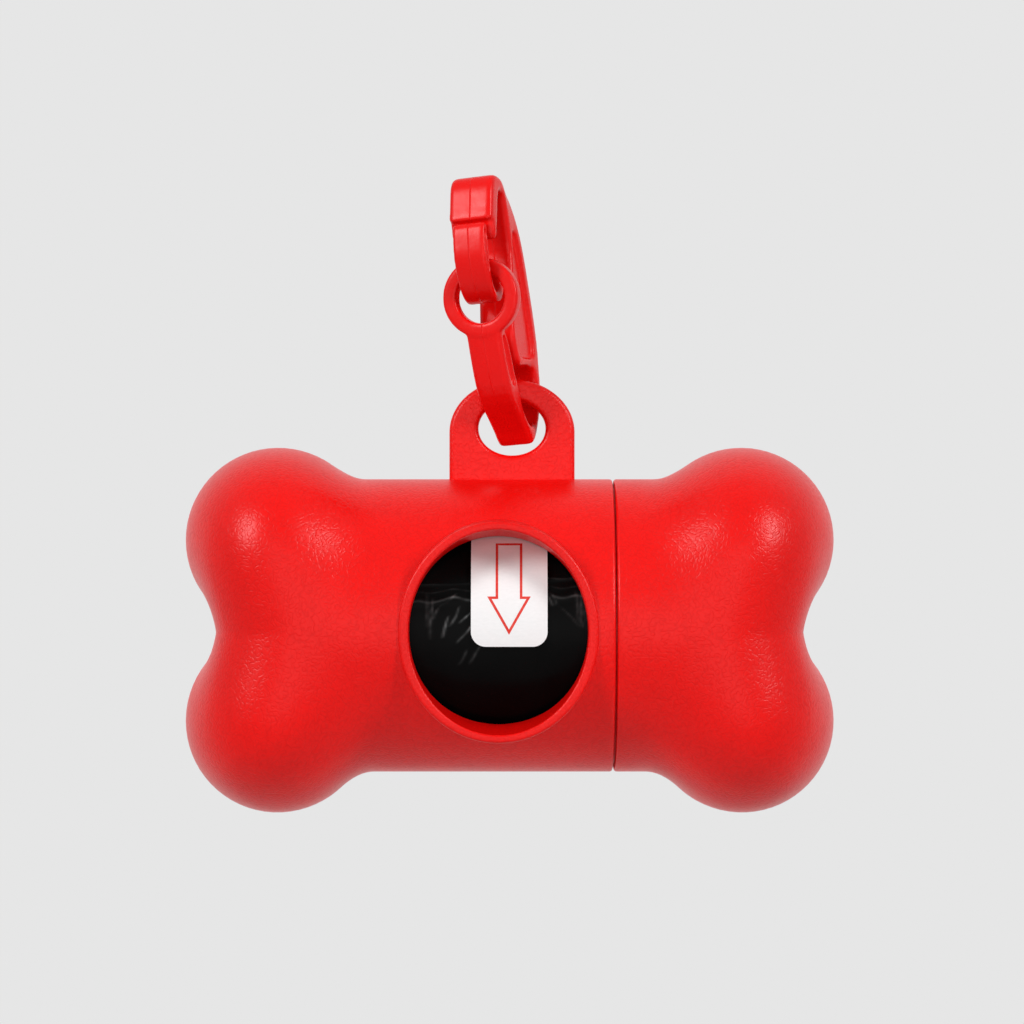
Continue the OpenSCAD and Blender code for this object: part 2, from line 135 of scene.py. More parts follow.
def tidy(piece, weld=WELD, outside=True):
    """Merge doubled points, and turn the faces outwards."""
    pick(piece)
    bpy.ops.object.mode_set(mode="EDIT")
    bpy.ops.mesh.select_all(action="SELECT")
    bpy.ops.mesh.remove_doubles(threshold=weld)
    if outside:
        bpy.ops.mesh.normals_make_consistent(inside=False)
    bpy.ops.object.mode_set(mode="OBJECT")
    return piece


def apply_all(piece):
    """Apply the piece's modifiers, in their order."""
    pick(piece)
    for modifier in list(piece.modifiers):
        bpy.ops.object.modifier_apply(modifier=modifier.name)


def settle(piece):
    """Put the piece's place into its mesh, so that its object sits at the origin."""
    pick(piece)
    bpy.ops.object.transform_apply(location=True, rotation=True, scale=True)
    return piece


def combine(piece, tool, operation):
    """Join or cut a closed mesh with another, which is then thrown away."""
    modifier = piece.modifiers.new("combine", "BOOLEAN")
    modifier.operation = operation
    modifier.solver = "EXACT"
    modifier.object = tool
    apply_all(piece)
    bpy.data.objects.remove(tool, do_unlink=True)


def smooth(piece, angle):
    """Smooth shading, with edges sharper than the angle kept."""
    pick(piece)
    bpy.ops.object.shade_smooth_by_angle(angle=math.radians(angle))


def faces_of(piece):
    return len(piece.data.polygons)


# %% [markdown]
# ## Wrapping a grid
#
# Most of the forms here run round an axis: the bone, its cavity, the window's rim, the
# roll and its paper. Each can start as a flat grid that is wrapped like paper: one side
# of the grid counts stations along the form, the other goes once round it. Where the two
# edges meet, or a station shrinks to a point, the doubled points are merged.

# %% Wrap a grid round an axis
def wrapped(name, stations, spokes, point):
    """A closed form: point(station, turn) gives each place, in millimetres."""
    bpy.ops.object.select_all(action="DESELECT")
    bpy.ops.mesh.primitive_grid_add(x_subdivisions=stations - 1, y_subdivisions=spokes, size=1)
    piece = bpy.context.object
    piece.name = name
    for vertex in piece.data.vertices:
        station = round((vertex.co.x + 0.5) * (stations - 1))
        spoke = round((vertex.co.y + 0.5) * spokes) % spokes
        vertex.co = Vector(point(station, 2 * math.pi * spoke / spokes)) * MM
    return tidy(piece)


def turned(name, profile, spokes, place):
    """A lathe form: the profile is (radius, height), and place puts it in the frame."""
    def point(station, turn):
        radius, height = profile[station]
        return place(Vector((radius * math.cos(turn), radius * math.sin(turn), height)))
    return wrapped(name, len(profile), spokes, point)


def along_barrel(local):
    """A point about +Z, as one about the barrel's axis, which runs along +X."""
    return Vector((BONE_X + local.z, local.y, AXIS_Z - local.x))


def corner(x, y, radius, steps=4):
    """Points of a round corner in a profile: a quarter turn about x and y."""
    angles = [math.radians(90 * i / steps) for i in range(steps + 1)]
    return [(x + radius * math.cos(a), y + radius * math.sin(a)) for a in angles]


# %% [markdown]
# ## The bone's skin
#
# The bone is four rounded lobes that melt into a barrel. One formula gives the distance to
# the barrel and one the distance to the nearest lobe, and a soft minimum blends the two.
# The blend is narrow in the outline that the photograph shows, and wide at the front and
# the back, where the real lobes flow into the barrel. Rays from inside find the surface,
# and the grid's points are moved onto it. The end that meets the other half is closed by
# a flat disc with a small rounded edge.

# %% Distance to the bone
SEAM_EDGE = 0.35
RAY_START_X = LOBE_X - 6
BLEND_END_X = LOBE_X - LOBE_R - FRONT_BLEND / 2
RAY_NEAR, RAY_FAR = 8.0, 32.0
RAY_HALVINGS = 24
SPOKES = 192
ROW_STEP = 0.6
BLEND_ROWS, TIP_ROWS = 16, 36


def bone_distance(x, y, z):
    """How far a point of the bone's own frame lies outside its surface."""
    radial = math.hypot(y, z - BARREL_LIFT) - (BARREL_R - BARREL_END_R)
    axial = abs(x) - (BARREL_HALF - BARREL_END_R)
    barrel = math.hypot(max(radial, 0), max(axial, 0)) + min(max(radial, axial), 0) - BARREL_END_R
    lobe = math.hypot(abs(x) - LOBE_X, y * LOBE_R / LOBE_DEPTH, abs(z) - LOBE_RISE) - LOBE_R
    blend = BLEND + (FRONT_BLEND - BLEND) * min(abs(y) / BLEND_DEPTH, 1)
    reach = max(blend - abs(barrel - lobe), 0)
    return min(barrel, lobe) - reach * reach / (4 * blend)


def bone_point(from_x, lean, turn):
    """Where a ray from the axis, leaning out by an angle, leaves the bone."""
    way = (math.sin(lean), math.cos(lean) * math.cos(turn), math.cos(lean) * math.sin(turn))
    near, far = RAY_NEAR, RAY_FAR
    for _ in range(RAY_HALVINGS):
        middle = (near + far) / 2
        inside = bone_distance(
            from_x + way[0] * middle, way[1] * middle, BARREL_LIFT + way[2] * middle
        ) < 0
        near, far = (middle, far) if inside else (near, middle)
    return Vector((from_x + way[0] * near, way[1] * near, BARREL_LIFT + way[2] * near))


def bone_end(name, start_x, side):
    """One half of the bone, from a flat start to its tip; side -1 mirrors it."""
    barrel = [(start_x, 0.0)] + [
        (start_x + SEAM_EDGE * (1 - math.cos(a)), BARREL_R - SEAM_EDGE * (1 - math.sin(a)))
        for a in [math.radians(30 * i) for i in range(4)]
    ]
    first = start_x + SEAM_EDGE
    count = max(int((BLEND_END_X - first) / ROW_STEP), 2)
    barrel += [(first + (BLEND_END_X - first) * i / count, BARREL_R) for i in range(1, count)]
    rays = [
        (BLEND_END_X + (RAY_START_X - BLEND_END_X) * i / BLEND_ROWS, 0.0)
        for i in range(BLEND_ROWS + 1)
    ]
    rays += [(RAY_START_X, math.radians(90 * i / TIP_ROWS)) for i in range(1, TIP_ROWS + 1)]

    def point(station, turn):
        if station < len(barrel):
            x, radius = barrel[station]
            place = Vector((x, radius * math.cos(turn), BARREL_LIFT + radius * math.sin(turn)))
        else:
            place = bone_point(*rays[station - len(barrel)], turn)
        return Vector((BONE_X + side * place.x, place.y, BONE_Z + place.z))

    return wrapped(name, len(barrel) + len(rays), SPOKES, point)


# %% [markdown]
# ## The holder
#
# The holder is one moulding: the left end of the bone, the barrel with an oval window in
# a raised rim, a lug on top and a neck for the cap. Every one of these is a closed mesh,
# and Boolean modifiers join them and then take the cavity and the window out. The rim's
# mouth is rounded and widens outwards, because film has to slide over it without tearing.

# %% Holder's skin, rim and neck
WINDOW_RX, WINDOW_RZ = 11.2, 12.0
WINDOW_X = BONE_X - 1.4
WINDOW_Z = BONE_Z + 0.3
RIM_CREST = BARREL_R + 0.35
RIM_W = 1.2
RIM_FLARE = 0.3
RIM_ROUND, MOUTH_ROUND = 0.4, 0.3
MOUTH_RX, MOUTH_RZ = WINDOW_RX + 0.25, WINDOW_RZ + 1.0
NECK_R = BORE_R + 1.15
NECK_LENGTH = 7.0
NECK_RELIEF = 0.3
NECK_LAND = 1.6
NECK_ROUND = 0.4
END_WALL = 2.2
STRAIGHT_HALF = 29.6  # half the cavity's straight length
DOME_ROWS = 16
BORE_SPOKES = 128
OVAL_SPOKES = 192


def oval_form(name, levels):
    """A closed form through ovals about the window's axis, which looks to -Y.

    Each level is half a width, half a height and a distance out from the bone's middle.
    """
    levels = [(0, 0, levels[0][2])] + levels + [(0, 0, levels[-1][2])]

    def point(station, turn):
        half_x, half_z, out = levels[station]
        x, z = WINDOW_X + half_x * math.cos(turn), WINDOW_Z + half_z * math.sin(turn)
        return Vector((x, -out, z))

    return wrapped(name, len(levels), OVAL_SPOKES, point)


def cavity(name, start_x, side):
    """The space for the roll, with a domed end."""
    dome = BARREL_HALF - END_WALL - STRAIGHT_HALF
    profile = [(0, start_x), (BORE_R, start_x)] + [
        (BORE_R * math.cos(a), STRAIGHT_HALF + dome * math.sin(a))
        for a in [math.radians(90 * i / DOME_ROWS) for i in range(DOME_ROWS + 1)]
    ]
    profile = [(radius, side * height) for radius, height in profile]
    return turned(name, profile, BORE_SPOKES, along_barrel)


holder = bone_end("holder_shell", -(SEAM_X - SEAM_GAP / 2), -1)
neck_start = SEAM_X - 2
neck_profile = (
    [(0, neck_start), (NECK_R, neck_start), (NECK_R, SEAM_X + NECK_LAND)]
    + [(NECK_R - NECK_RELIEF, SEAM_X + NECK_LAND + NECK_RELIEF)]
    + corner(NECK_R - NECK_RELIEF - NECK_ROUND, SEAM_X + NECK_LENGTH - NECK_ROUND, NECK_ROUND)
    + [(0, SEAM_X + NECK_LENGTH)]
)
neck = turned("neck", neck_profile, BORE_SPOKES, along_barrel)

rim_rx, rim_rz = MOUTH_RX + RIM_W, MOUTH_RZ + 0.8 * RIM_W
rim_levels = [(rim_rx + RIM_FLARE, rim_rz + RIM_FLARE, out) for out in (8.0, 0.66 * RIM_CREST)]
mouth_levels = [(WINDOW_RX, WINDOW_RZ, out) for out in (4.0, 0.6 * RIM_CREST)]
for a in [math.radians(15 * i) for i in range(7)]:
    inwards, down = 1 - math.cos(a), 1 - math.sin(a)
    narrower = RIM_ROUND * inwards
    rim_levels.append((rim_rx - narrower, rim_rz - narrower, RIM_CREST - RIM_ROUND * down))
    wider = MOUTH_ROUND * inwards - 0.1
    mouth_levels.append((MOUTH_RX + wider, MOUTH_RZ + wider, RIM_CREST - MOUTH_ROUND * down))
mouth_levels.append((MOUTH_RX + MOUTH_ROUND, MOUTH_RZ + MOUTH_ROUND, RIM_CREST + 2))
rim = oval_form("rim", rim_levels)
window = oval_form("window", mouth_levels)
print(f"skin {faces_of(holder)} faces, rim {faces_of(rim)}, neck {faces_of(neck)}")

# %% [markdown]
# ## The lug
#
# The lug is a flat plate with a round top and an oval eye. It starts as a filled circle:
# its lower half is gathered in the two corners of a straight foot, and the face is
# extruded to the plate's thickness. The eye is cut by an oval cylinder, and one bevel
# rounds every edge, inside the eye and out, as a mould would leave it.

# %% Lug
LUG_W, LUG_T, LUG_ROUND, LUG_ARCH = 16.4, 3.0, 0.7, 6.9
EYE_W, EYE_H, BAR_H = 8.8, 7.1, 2.85
LUG_ARCH_Z = EYE_H / 2 + BAR_H - LUG_ARCH
LUG_FOOT_Z = AXIS_Z + 0.8 * BARREL_R
ROUND_STEPS = 5

bpy.ops.object.select_all(action="DESELECT")
bpy.ops.mesh.primitive_circle_add(
    vertices=128, radius=1, fill_type="NGON", rotation=(math.radians(90), 0, 0)
)
lug = settle(bpy.context.object)
lug.name = "lug"
for vertex in lug.data.vertices:
    x, z = vertex.co.x * LUG_W / 2, vertex.co.z * LUG_ARCH + LUG_ARCH_Z
    if vertex.co.z < -0.001:
        x, z = math.copysign(LUG_W / 2, x), LUG_FOOT_Z
    vertex.co = Vector((x, LUG_T / 2, z)) * MM
bpy.ops.object.mode_set(mode="EDIT")
bpy.ops.mesh.select_all(action="SELECT")
bpy.ops.mesh.extrude_region_move(TRANSFORM_OT_translate={"value": (0, -LUG_T * MM, 0)})
bpy.ops.object.mode_set(mode="OBJECT")
tidy(lug)
bpy.ops.object.select_all(action="DESELECT")
bpy.ops.mesh.primitive_cylinder_add(
    vertices=96, radius=1, depth=4 * LUG_T * MM, rotation=(math.radians(90), 0, 0)
)
eye = settle(bpy.context.object)
for vertex in eye.data.vertices:
    vertex.co.x *= EYE_W / 2 * MM
    vertex.co.z *= EYE_H / 2 * MM
combine(lug, tidy(eye), "DIFFERENCE")
bevel = lug.modifiers.new("rounding", "BEVEL")
bevel.width = LUG_ROUND * MM
bevel.segments = ROUND_STEPS
bevel.limit_method = "ANGLE"
bevel.angle_limit = math.radians(60)
apply_all(lug)
print(f"lug {faces_of(lug)} faces")

# %% [markdown]
# ## Joining the holder
#
# The joins come first and the cuts last, so that the cavity also clears the feet of the
# rim and the lug, and the window goes through the rim and the wall in one cut.

# %% Join and hollow the holder
for part in (neck, rim, lug):
    combine(holder, part, "UNION")
combine(holder, cavity("holder_cavity", -(SEAM_X + NECK_LENGTH + 1), -1), "DIFFERENCE")
combine(holder, window, "DIFFERENCE")
tidy(holder, weld=1e-6)
smooth(holder, 40)
print(f"holder {faces_of(holder)} faces")

# %% [markdown]
# ## The cap
#
# The cap is the right end of the bone. It is the same skin, started at the other side of
# the seam, with the cavity and the bore for the neck cut out. The bore is a fraction of
# a millimetre wider than the neck, so the two slide without rattling.

# %% Cap
NECK_FIT = 0.06

cap = bone_end("cap_shell", SEAM_X + SEAM_GAP / 2, 1)
combine(cap, cavity("cap_cavity", SEAM_X - 1, 1), "DIFFERENCE")
bore_r = NECK_R + NECK_FIT
bore_end = SEAM_X + NECK_LENGTH + 0.4
bore_profile = [(0, SEAM_X - 1), (bore_r, SEAM_X - 1), (bore_r, bore_end), (0, bore_end)]
combine(cap, turned("bore", bore_profile, BORE_SPOKES, along_barrel), "DIFFERENCE")
tidy(cap, weld=1e-6)
smooth(cap, 40)
print(f"cap {faces_of(cap)} faces")

# %% [markdown]
# ## The thread
#
# Something has to hold the cap on the neck. The photograph doesn't show it, but such caps
# have a short coarse thread. A small rounded section is swept once and a half round the
# thin part of the neck, and it sinks into the neck at both ends.

# %% Thread on the neck
THREAD_TURNS = 1.5
THREAD_PITCH = 2.2
THREAD_STEPS = 144
THREAD_RISE, THREAD_HALF_W = 0.24, 0.42
THREAD_FADE = 8
thread_root = NECK_R - NECK_RELIEF - 0.25
thread_start = SEAM_X + NECK_LAND + 1.0


def thread_point(station, turn):
    """A small rounded section, carried along a helix on the neck."""
    share = station / THREAD_STEPS
    rise = min(1.0, THREAD_FADE * share, THREAD_FADE * (1 - share))
    angle = 2 * math.pi * THREAD_TURNS * share
    radius = thread_root + (THREAD_RISE + THREAD_RISE * math.cos(turn)) * rise
    height = thread_start + THREAD_PITCH * THREAD_TURNS * share
    height += THREAD_HALF_W * math.sin(turn) * rise
    return along_barrel(Vector((radius * math.cos(angle), radius * math.sin(angle), height)))


thread = wrapped("neck_thread", THREAD_STEPS + 1, 8, thread_point)
smooth(thread, 60)
print(f"thread {faces_of(thread)} faces")

# %% [markdown]
# ## The clip
#
# The clip is one springy strap, with a loose lever for a gate. Their side views are full
# of careful curves, and the solids already have them, so each starts as a copy of its
# solid. A moulded clip has no sharp corner, inside or out. The copy is therefore rebuilt
# from small cubes by a voxel remesh and then relaxed, which rounds every edge and fills
# every inner corner by a fraction of a millimetre.

# %% Clip from the solids
def copy_of(node, name):
    """A loose, merged copy of a solid, free to be shaped."""
    piece = frame["nodes"][node].copy()
    piece.data = piece.data.copy()
    piece.name = name
    piece.data.name = name
    for key in list(piece.keys()):
        del piece[key]
    piece.parent = None
    piece.matrix_world = Matrix.Identity(4)
    bpy.context.scene.collection.objects.link(piece)
    piece.data.materials.clear()
    return tidy(piece, weld=2e-6, outside=False)


CLIP_VOXEL = 0.13
CLIP_RELAX = 34
clip_pieces = {}
for node, name in (("hook", "clip_hook"), ("gate", "clip_gate")):
    piece = copy_of(node, name)
    remesh = piece.modifiers.new("voxels", "REMESH")
    remesh.mode = "VOXEL"
    remesh.voxel_size = CLIP_VOXEL * MM
    relax = piece.modifiers.new("relax", "SMOOTH")
    relax.factor = 0.5
    relax.iterations = CLIP_RELAX
    apply_all(piece)
    smooth(piece, 60)
    clip_pieces[node] = piece
    print(f"{name} {faces_of(piece)} faces")
hook, gate = clip_pieces["hook"], clip_pieces["gate"]

# %% [markdown]
# ## The roll of bags
#
# The bags are one long film, folded and wound on a tube. Through the window only the
# outer turns show, and at the ends the edges of all the turns, like the end of a roll of
# tape. So the roll is a lathe form, whose outside is not quite round, with its ends set
# back and forth by fractions of a millimetre from turn to turn.

# %% Roll of bags
ROLL_HALF = 29.0
CORE_R = 7.5
CORE_WALL = 1.0
FOLD_T = 0.4
BAND_T = 0.15
TURNS_SHOWN = 40
OUTSIDE_ROWS = 60
ROLL_SPOKES, CORE_SPOKES = 160, 96


def end_profile(side):
    """The end of the roll: the edges of the turns, from the core outwards or back."""
    points = []
    for i in range(TURNS_SHOWN + 1):
        radius = CORE_R + 0.06 + (ROLL_R - 0.15 - CORE_R) * i / TURNS_SHOWN
        wave = noise.noise(Vector((i * 0.37, side * 5.0, 0.3)))
        points.append((radius, side * (ROLL_HALF - 0.25 - 0.22 * (i % 2) + 0.2 * wave)))
    return points


outside = [
    (ROLL_R - 0.06, ROLL_HALF * (2 * i / OUTSIDE_ROWS - 1) * 0.99) for i in range(OUTSIDE_ROWS + 1)
]
roll_profile = end_profile(-1) + outside + end_profile(1)[::-1]
roll_profile.append(roll_profile[0])


def roll_point(station, turn):
    """The profile turned about the axis, with slow ripples on its outside."""
    radius, height = roll_profile[station]
    if len(outside) > station - TURNS_SHOWN - 1 >= 0:
        ripple = noise.noise(Vector((height * 0.11, 6 * math.cos(turn), 6 * math.sin(turn))))
        radius += 0.05 * ripple
    return along_barrel(Vector((radius * math.cos(turn), radius * math.sin(turn), height)))


roll = wrapped("film_roll", len(roll_profile), ROLL_SPOKES, roll_point)
smooth(roll, 50)
core_profile = [
    (CORE_R - CORE_WALL, -ROLL_HALF + 0.02),
    (CORE_R - 0.05, -ROLL_HALF + 0.02),
    (CORE_R, -ROLL_HALF + 0.1),
    (CORE_R, ROLL_HALF - 0.1),
    (CORE_R - 0.05, ROLL_HALF - 0.02),
    (CORE_R - CORE_WALL, ROLL_HALF - 0.02),
    (CORE_R - CORE_WALL, -ROLL_HALF + 0.02),
]
core = turned("card_core", core_profile, CORE_SPOKES, along_barrel)
smooth(core, 40)
print(f"roll {faces_of(roll)} faces, core {faces_of(core)}")

# %% [markdown]
# ## The first bag
#
# The loose end of the first bag lies over the roll. Its end is folded back on itself, so
# there are two soft ridges near its edge, and short creases run down from them, most of
# them to the left. Film this thin has no thickness to speak of: the sheet is a bent grid,
# its points are lifted along the ridges and creases, and Solidify gives it a wall. How
# sharp the film is creased is kept at each point too, because the material paints a pale
# highlight along the creases from it.

# %% First bag
BAG_START, BAG_END = 22.4, -119.0
BAG_HALF = 28.4
BAG_LOW_R = ROLL_R + 0.08
BAG_HIGH_R = ROLL_R + FOLD_T - 0.06
BAG_ROWS, BAG_COLUMNS = 170, 240
FILM_T = 0.05


def ridge(distance, width):
    """A rounded ridge: 1 at its middle, 0 a few widths away."""
    return math.exp(-(distance / width) ** 2)


# Each crease, in millimetres down from the bag's edge and across from the bone's middle:
# across at its top, top, length, lean, strength
CREASES = [
    (-4.3, 3.2, 2.2, -0.85, 1.0),
    (-5.0, 5.4, 2.6, -0.7, 0.7),
    (-6.3, 3.0, 2.8, -0.6, 0.8),
    (-7.4, 4.2, 3.0, -0.5, 1.0),
    (-8.3, 2.8, 2.0, -0.75, 0.6),
    (-3.2, 4.2, 2.6, -0.8, 0.9),
    (-3.0, 7.4, 3.2, -0.55, 0.6),
    (-5.6, 8.4, 2.4, -0.45, 0.4),
    (-6.6, 1.4, 1.6, -1.4, 0.6),
    (-2.6, 1.2, 1.4, 1.2, 0.6),
    (-9.8, 1.8, 5.6, 0.02, 0.6),
    (-10.8, 1.2, 4.6, 0.12, 0.5),
    (5.1, 2.0, 1.6, 0.05, 0.8),
    (5.6, 2.1, 1.4, 0.05, 0.6),
    (6.2, 3.4, 3.0, 0.8, 0.35),
    (8.0, 1.4, 4.4, 0.22, 0.5),
    (9.0, 1.6, 5.0, 0.12, 0.7),
    (9.8, 1.2, 5.6, 0.06, 0.5),
    (-15.0, 3.0, 7.0, -0.3, 0.7),
    (15.5, 2.6, 7.0, 0.3, 0.7),
]
# Each line along the edge: how far down, width, strength
EDGE_LINES = [(0.0, 0.16, 0.45), (1.15, 0.12, 0.3), (2.35, 0.18, 0.8)]


def crease_height(across, along):
    """The sharp marks on the film: three edge lines and the creases below them."""
    wander = 0.3 * noise.noise(Vector((across * 0.35, 0.0, 4.0)))
    broken = 0.5 + 0.5 * noise.noise(Vector((across * 0.9, along * 0.2, 9.0)))
    crease_marks_and_highlight = 0.0
    for level, width, strength in EDGE_LINES:
        crease_marks_and_highlight += strength * broken * ridge(along - level + wander * (1 + level), width)
    for place, start, length, lean, strength in CREASES:
        run = (along - start) / length
        if 0 < run < 1:
            bent = place + lean * (along - start) + 0.35 * math.sin(2.2 * run + place)
            patchy = 0.65 + 0.7 * noise.noise(Vector((across * 2.1, along * 1.3, place)))
            sharp = ridge(across - bent, 0.16 + 0.1 * run)
            crease_marks_and_highlight += strength * patchy * sharp * math.sin(math.pi * run) ** 0.6
    return min(max(crease_marks_and_highlight, 0.0), 1.0)


def bag_height(across, along):
    """How far the film stands off the roll, from 0 to 1; both in millimetres."""
    folds = 0.35 * ridge(along - 0.1, 0.3) + 0.4 * ridge(along - 2.4, 0.45)
    loose = noise.noise(Vector((across * 0.32, along * 0.32, 2.0)))
    fade = math.exp(-max(along - 3.0, 0) / 6.0)
    height = 0.18 + folds + 0.5 * crease_height(across, along) + 0.28 * loose * fade
    return min(max(height, 0.0), 1.0)


bpy.ops.object.select_all(action="DESELECT")
bpy.ops.mesh.primitive_grid_add(x_subdivisions=BAG_COLUMNS, y_subdivisions=BAG_ROWS, size=1)
bag = bpy.context.object
bag.name = "first_bag"
crease_marks_and_highlight = bag.data.attributes.new("crease_highlight", "FLOAT", "POINT")
for vertex in bag.data.vertices:
    side = 2 * vertex.co.x
    across = BAG_HALF * math.copysign(abs(side) ** 1.5, side)
    share = (0.5 - vertex.co.y) ** 1.9
    start = BAG_START + 0.12 * across + 0.8 * math.sin(across * 0.22)
    angle = math.radians(start + (BAG_END - start) * share)
    along = math.radians(BAG_START - math.degrees(angle)) * ROLL_R + 0.035 * across
    # The layer keeps how sharply the film is creased here, for the painted highlight in its
    # material.
    crease_marks_and_highlight.data[vertex.index].value = 0.8 * crease_height(across, along) ** 1.5
    radius = BAG_LOW_R + (BAG_HIGH_R - BAG_LOW_R) * bag_height(across, along)
    vertex.co = Vector(
        (BONE_X + across, -radius * math.cos(angle), AXIS_Z + radius * math.sin(angle))
    ) * MM
solid = bag.modifiers.new("film", "SOLIDIFY")
solid.thickness = FILM_T * MM
solid.offset = -1
apply_all(bag)
tidy(bag)
smooth(bag, 70)
print(f"first bag {faces_of(bag)} faces")

# %% [markdown]
# ## The paper strip and its arrow
#
# A strip of white paper comes down from under the window's top edge and shows which way
# to pull. It is cut from a bent grid, with round lower corners. The arrow is only ink, so
# it is a flat outline a few hundredths of a millimetre above the paper: an outer and an
# inner arrow, bridged to a thin line and bent round the roll with the paper.

# %% Paper strip
BAND_W = 9.7
BAND_X = -0.35
BAND_CORNER = 1.9
BAND_TOP = 98.0  # degrees up from the front
BAND_ROWS, BAND_COLUMNS = 96, 24
BAND_FOOT_Z = BONE_Z - 1.6
SOFT_GAP = 0.05
band_r = ROLL_R + FOLD_T + SOFT_GAP + BAND_T


def on_band(across, along, lift=0.0):
    """A point of the unrolled strip, bent round the roll. Along starts level with the axis."""
    radius = band_r + lift
    angle = along / band_r
    return Vector((across, -radius * math.cos(angle), AXIS_Z + radius * math.sin(angle))) * MM


band_low = band_r * math.asin((BAND_FOOT_Z - AXIS_Z) / band_r)
band_high = band_r * math.radians(BAND_TOP)
bpy.ops.object.select_all(action="DESELECT")
bpy.ops.mesh.primitive_grid_add(x_subdivisions=BAND_COLUMNS, y_subdivisions=BAND_ROWS, size=1)
band = bpy.context.object
band.name = "paper_strip"
for vertex in band.data.vertices:
    along = band_low + (band_high - band_low) * (vertex.co.y + 0.5) ** 1.8
    low = along - band_low
    half = BAND_W / 2
    if low < BAND_CORNER:
        half += math.sqrt(max(BAND_CORNER**2 - (BAND_CORNER - low) ** 2, 0)) - BAND_CORNER
    vertex.co = on_band(BAND_X + 2 * half * vertex.co.x, along)
paper_wall = band.modifiers.new("paper", "SOLIDIFY")
paper_wall.thickness = (BAND_T - SOFT_GAP) * MM
paper_wall.offset = -1
apply_all(band)
tidy(band)
smooth(band, 60)
print(f"paper strip {faces_of(band)} faces")

# %% Arrow
ARROW_X = -0.38
ARROW_TOP, ARROW_SHOULDER, ARROW_TIP = 11.8, 4.2, -0.68
SHAFT_HALF, HEAD_HALF = 1.7, 2.76
INK_W = 0.33
INK_LIFT = 0.012
STEPS_ALONG = 10


def arrow_corners(inset):
    """The arrow's seven corners, drawn in by a margin on every side."""
    slope = (ARROW_SHOULDER - ARROW_TIP) / HEAD_HALF
    lean = math.hypot(1, slope)
    tip = ARROW_TIP + inset * lean
    shoulder = ARROW_SHOULDER - inset
    head = (shoulder - tip) / slope
    shaft = SHAFT_HALF - inset
    right = [(shaft, ARROW_TOP - inset), (shaft, shoulder), (head, shoulder)]
    return right + [(0, tip)] + [(-x, y) for x, y in reversed(right)]


outer, inner = arrow_corners(0), arrow_corners(INK_W)
arrow_mesh = bmesh.new()
for i in range(len(outer)):
    j = (i + 1) % len(outer)
    columns = []
    for k in range(STEPS_ALONG + 1):
        share = k / STEPS_ALONG
        pair = []
        for edge in (outer, inner):
            x = edge[i][0] + (edge[j][0] - edge[i][0]) * share
            y = edge[i][1] + (edge[j][1] - edge[i][1]) * share
            pair.append(arrow_mesh.verts.new(on_band(ARROW_X + x, y, INK_LIFT)))
        columns.append(pair)
    for k in range(STEPS_ALONG):
        (a, b), (c, d) = columns[k], columns[k + 1]
        arrow_mesh.faces.new((a, b, d, c))
arrow_data = bpy.data.meshes.new("arrow_print")
arrow_mesh.to_mesh(arrow_data)
arrow_mesh.free()
arrow = bpy.data.objects.new("arrow_print", arrow_data)
bpy.context.scene.collection.objects.link(arrow)
tidy(arrow, weld=1e-6)
if arrow.data.polygons[0].normal.y > 0:
    pick(arrow)
    bpy.ops.object.mode_set(mode="EDIT")
    bpy.ops.mesh.select_all(action="SELECT")
    bpy.ops.mesh.flip_normals()
    bpy.ops.object.mode_set(mode="OBJECT")
print(f"arrow {faces_of(arrow)} faces")

# %% [markdown]
# ## Materials
#
# Every finish here is made of nodes. They read Object coordinates, which are metres, so a
# texture's scale of 1000 gives one bump a millimetre. The helpers make a node, link it
# and start a material from a Principled shader, whose plain numbers sit on its own
# sockets.

# %% Material helpers
def new_material(name, **sockets):
    """A material with a Principled shader and its plain values."""
    material = bpy.data.materials.new(name)
    material.use_nodes = True
    shader = material.node_tree.nodes["Principled BSDF"]
    for socket, value in sockets.items():
        shader.inputs[socket.replace("_", " ")].default_value = value
    return material, shader


def add_node(material, kind, **settings):
    """A new node, with values for its sockets or its own settings."""
    node = material.node_tree.nodes.new(kind)
    for key, value in settings.items():
        if key in node.inputs:
            node.inputs[key].default_value = value
        else:
            setattr(node, key, value)
    return node


def link(material, source, target):
    material.node_tree.links.new(source, target)


def feed(material, target, value):
    """Give a socket its value: another node's output, a colour or a number."""
    if isinstance(value, bpy.types.NodeSocket):
        link(material, value, target)
    elif isinstance(value, tuple):
        target.default_value = (*value, 1)
    else:
        target.default_value = value


def object_place(material, scale=(1, 1, 1), shift=(0, 0, 0)):
    """Object coordinates, stretched and moved by a Mapping node."""
    coordinates = add_node(material, "ShaderNodeTexCoord")
    mapping = add_node(material, "ShaderNodeMapping", Scale=scale, Location=shift)
    link(material, coordinates.outputs["Object"], mapping.inputs["Vector"])
    return mapping.outputs["Vector"]


def noise_field(material, place, scale, detail, roughness=0.5):
    """A soft noise from 0 to 1."""
    field = add_node(
        material, "ShaderNodeTexNoise", Scale=scale, Detail=detail, Roughness=roughness
    )
    link(material, place, field.inputs["Vector"])
    return field.outputs["Fac"]


def ranged(material, value, low, high, to_low=0.0, to_high=1.0):
    """A value moved from one range to another, and kept inside it."""
    node = add_node(material, "ShaderNodeMapRange")
    for i, number in enumerate((low, high, to_low, to_high)):
        node.inputs[i + 1].default_value = number
    link(material, value, node.inputs["Value"])
    return node.outputs["Result"]


def blended(material, factor, first, second):
    """A colour between two, by a factor."""
    node = add_node(material, "ShaderNodeMix", data_type="RGBA")
    for socket, colour in zip([s for s in node.inputs if s.type == "RGBA"], (first, second)):
        feed(material, socket, colour)
    link(material, factor, node.inputs["Factor"])
    return [s for s in node.outputs if s.type == "RGBA"][0]


